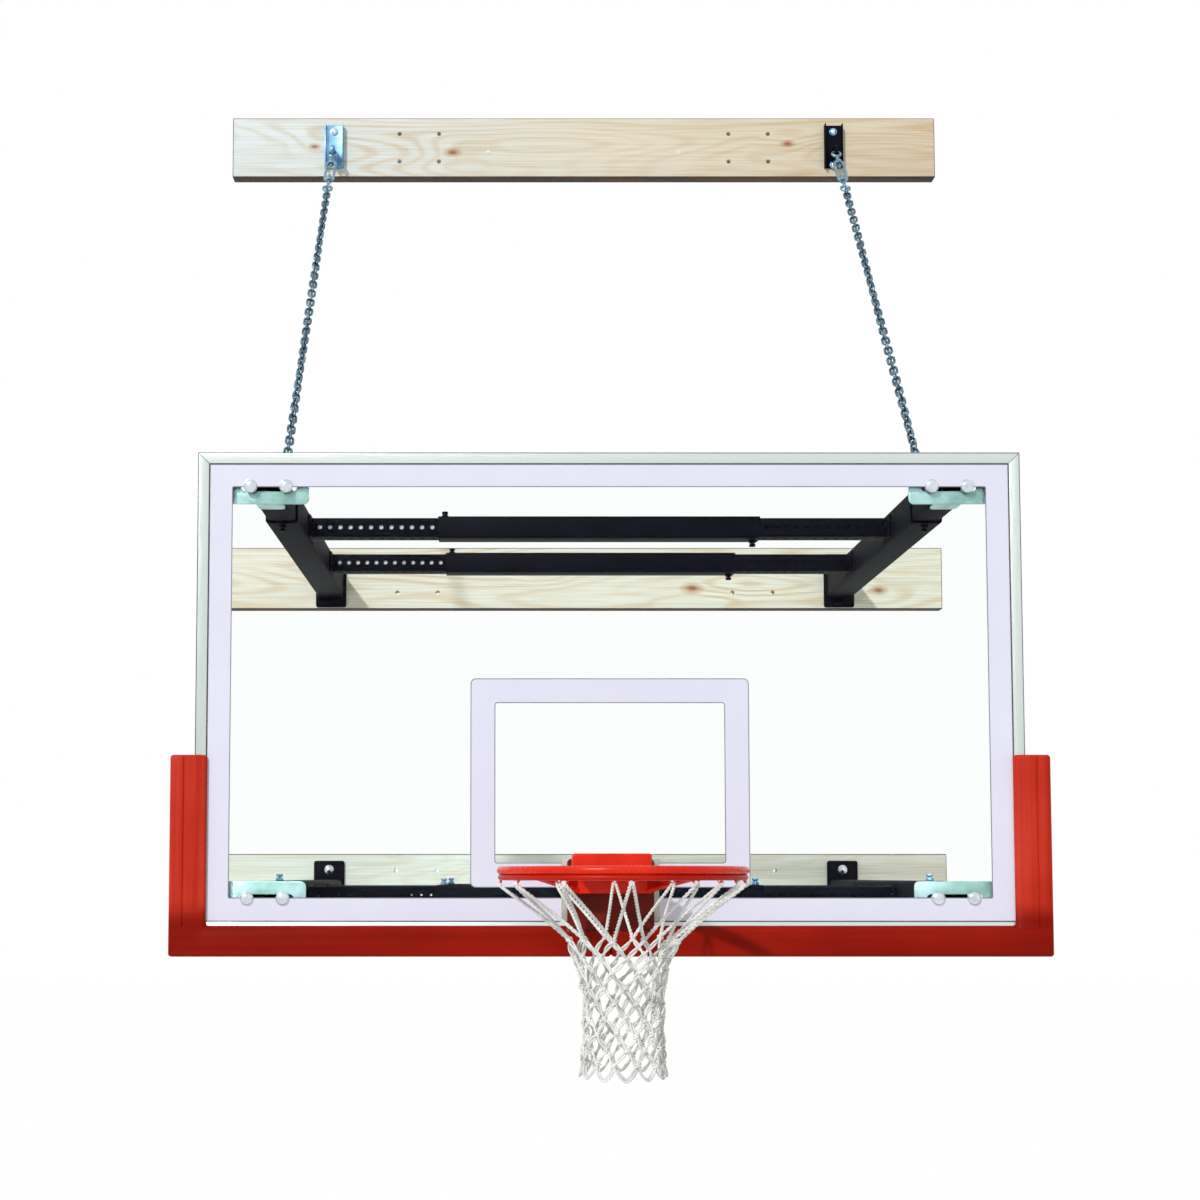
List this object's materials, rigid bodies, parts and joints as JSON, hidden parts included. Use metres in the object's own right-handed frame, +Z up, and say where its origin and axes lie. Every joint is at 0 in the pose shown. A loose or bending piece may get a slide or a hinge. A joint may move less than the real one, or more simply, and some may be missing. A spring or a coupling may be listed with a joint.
{
  "type": "wall-mounted basketball hoop",
  "caption": "Glass backboard with padded edge and sprung breakaway rim and net, held off a wall by telescoping arms, cross tubes and chains.",
  "frame": {"origin": "centre of the middle wall board's back face, which lies on the wall", "axes": "+Z up, +Y into the wall, +X to the right of someone who faces the hoop; the hoop faces -Y"},
  "size_m": [2.134, 1.8443, 2.6917],
  "materials": {
    "pine_wood": "planed pine with fine grain and small knots",
    "black_steel": "black powder coat, slightly textured",
    "zinc_plated_steel": "dull zinc plate",
    "bright_steel": "bright plated fasteners",
    "aluminium_frame": "satin anodised extrusion",
    "tempered_glass": "clear tempered glass with a white printed border and target",
    "red_pad": "moulded red polyurethane",
    "red_enamel": "bright red powder coat",
    "spring_steel": "oiled spring steel",
    "net_cord": "white braided polyester cord"
  },
  "bodies": {
    "wall_frame": {"arm_sleeve_lower_left": "black_steel", "arm_sleeve_lower_right": "black_steel", "arm_sleeve_upper_left": "black_steel", "arm_sleeve_upper_right": "black_steel", "chain_bracket_left": "zinc_plated_steel", "chain_bracket_right": "zinc_plated_steel", "chain_left": "zinc_plated_steel", "chain_right": "zinc_plated_steel", "cross_inner_lower_front_left": "black_steel", "cross_inner_lower_front_right": "black_steel", "cross_inner_lower_rear_left": "black_steel", "cross_inner_lower_rear_right": "black_steel", "cross_inner_upper_front_left": "black_steel", "cross_inner_upper_front_right": "black_steel", "cross_inner_upper_rear_left": "black_steel", "cross_inner_upper_rear_right": "black_steel", "cross_sleeve_lower_front": "black_steel", "cross_sleeve_lower_rear": "black_steel", "cross_sleeve_upper_front": "black_steel", "cross_sleeve_upper_rear": "black_steel", "turnbuckle_lower_eye_left": "zinc_plated_steel", "turnbuckle_lower_eye_right": "zinc_plated_steel", "turnbuckle_upper_eye_left": "zinc_plated_steel", "turnbuckle_upper_eye_right": "zinc_plated_steel", "wall_board_bottom": "pine_wood", "wall_board_middle": "pine_wood", "wall_board_top": "pine_wood"},
    "backboard": {"arm_inner_lower_left": "black_steel", "arm_inner_lower_right": "black_steel", "arm_inner_upper_left": "black_steel", "arm_inner_upper_right": "black_steel", "board_bolt_lower_left_inner": "bright_steel", "board_bolt_lower_left_outer": "bright_steel", "board_bolt_lower_right_inner": "bright_steel", "board_bolt_lower_right_outer": "bright_steel", "board_bolt_upper_left_inner": "bright_steel", "board_bolt_upper_left_outer": "bright_steel", "board_bolt_upper_right_inner": "bright_steel", "board_bolt_upper_right_outer": "bright_steel", "board_bracket_lower_left": "zinc_plated_steel", "board_bracket_lower_right": "zinc_plated_steel", "board_bracket_upper_left": "zinc_plated_steel", "board_bracket_upper_right": "zinc_plated_steel", "edge_pad_left": "red_pad", "edge_pad_right": "red_pad", "frame_rail_bottom": "aluminium_frame", "frame_rail_left": "aluminium_frame", "frame_rail_right": "aluminium_frame", "frame_rail_top": "aluminium_frame", "glass_panel": "tempered_glass", "hinge_pin": "zinc_plated_steel", "return_spring": "spring_steel", "rim_mount_plate": "red_enamel", "rim_support": "zinc_plated_steel", "spring_bolt": "zinc_plated_steel"},
    "rim": {"rim_ring": "red_enamel", "net": "net_cord"},
    "turnbuckle_left": {"turnbuckle_body_left": "zinc_plated_steel"},
    "turnbuckle_right": {"turnbuckle_body_right": "zinc_plated_steel"}
  },
  "joints": [
    {"name": "arm_extension", "type": "slide", "parent": "wall_frame", "child": "backboard", "axis": [0, -1, 0], "range_m": [0, 0.61]},
    {"name": "rim_breakaway", "type": "hinge", "parent": "backboard", "child": "rim", "pos_m": [0, -1.2526, -0.91], "axis": [1, 0, 0], "range_deg": [0, 30], "stiffness_Nm_per_rad": 400, "springref_deg": -20.05, "deforming": ["return_spring"]},
    {"name": "turnbuckle_left_spin", "type": "hinge", "parent": "wall_frame", "child": "turnbuckle_left", "pos_m": [-0.7575, -0.1433, 1.2005], "axis": [0, -0.5951, -0.8036], "continuous": true},
    {"name": "turnbuckle_right_spin", "type": "hinge", "parent": "wall_frame", "child": "turnbuckle_right", "pos_m": [0.7575, -0.1433, 1.2005], "axis": [0, -0.5951, -0.8036], "continuous": true}
  ]
}
